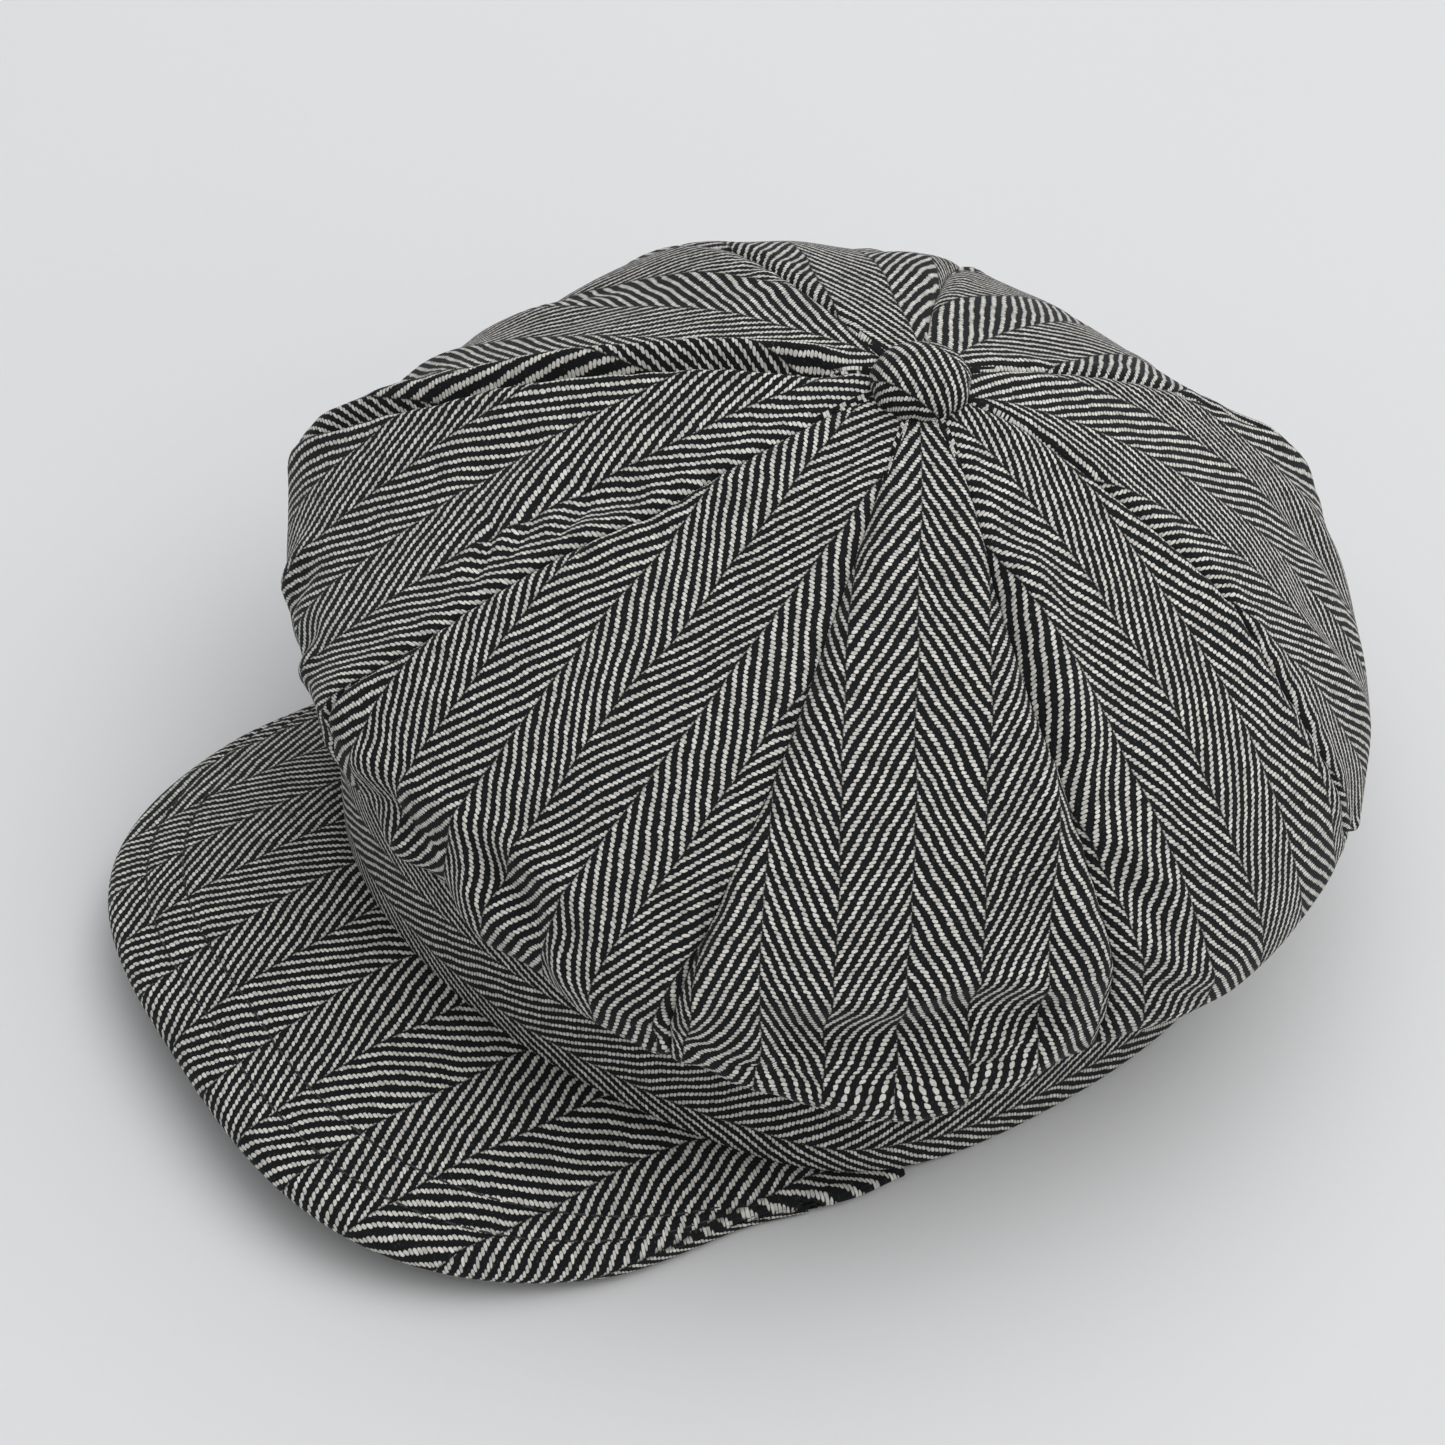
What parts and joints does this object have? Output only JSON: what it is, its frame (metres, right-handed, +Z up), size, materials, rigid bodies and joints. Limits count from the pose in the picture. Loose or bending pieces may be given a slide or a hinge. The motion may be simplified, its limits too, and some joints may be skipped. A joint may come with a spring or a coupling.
{
  "type": "newsboy cap",
  "caption": "Puffy panelled cloth cap with a covered top button, a lined crown, a head band and a short stiffened peak that flexes at its root.",
  "frame": {"origin": "middle of the head opening, on the plane the cap rests on", "axes": "+Z up, the peak points to -Y, +X is the wearer's left; the cap stands as it lies on a table, on the back of its band and the two sides of its peak"},
  "size_m": [0.2158, 0.2635, 0.1243],
  "materials": {
    "herringbone_cloth": "black and off-white herringbone twill, soft, slightly fuzzy",
    "lining_cloth": "black satin lining, smooth",
    "sweatband_cotton": "black cotton twill, matte",
    "interfacing": "white stiff interfacing",
    "peak_board": "white plastic peak board",
    "button_metal": "pressed aluminium",
    "thread": "black sewing thread"
  },
  "bodies": {
    "cap": {"gore_front_left": "herringbone_cloth", "gore_left_front": "herringbone_cloth", "gore_left_back": "herringbone_cloth", "gore_back_left": "herringbone_cloth", "gore_back_right": "herringbone_cloth", "gore_right_back": "herringbone_cloth", "gore_right_front": "herringbone_cloth", "gore_front_right": "herringbone_cloth", "lining_front_left": "lining_cloth", "lining_left_front": "lining_cloth", "lining_left_back": "lining_cloth", "lining_back_left": "lining_cloth", "lining_back_right": "lining_cloth", "lining_right_back": "lining_cloth", "lining_right_front": "lining_cloth", "lining_front_right": "lining_cloth", "band_cloth": "herringbone_cloth", "band_interfacing": "interfacing", "sweatband": "sweatband_cotton", "button_cloth": "herringbone_cloth", "button_shell": "button_metal", "button_plate": "button_metal", "button_thread": "thread"},
    "peak": {"peak_top_cloth": "herringbone_cloth", "peak_board": "peak_board", "peak_under_cloth": "herringbone_cloth", "peak_stitching": "thread"}
  },
  "joints": [
    {"name": "peak_tilt", "type": "hinge", "parent": "cap", "child": "peak", "pos_m": [0, -0.088, 0.027], "axis": [-1, 0, 0], "range_deg": [-8, 15], "stiffness_Nm_per_rad": 2.5}
  ]
}
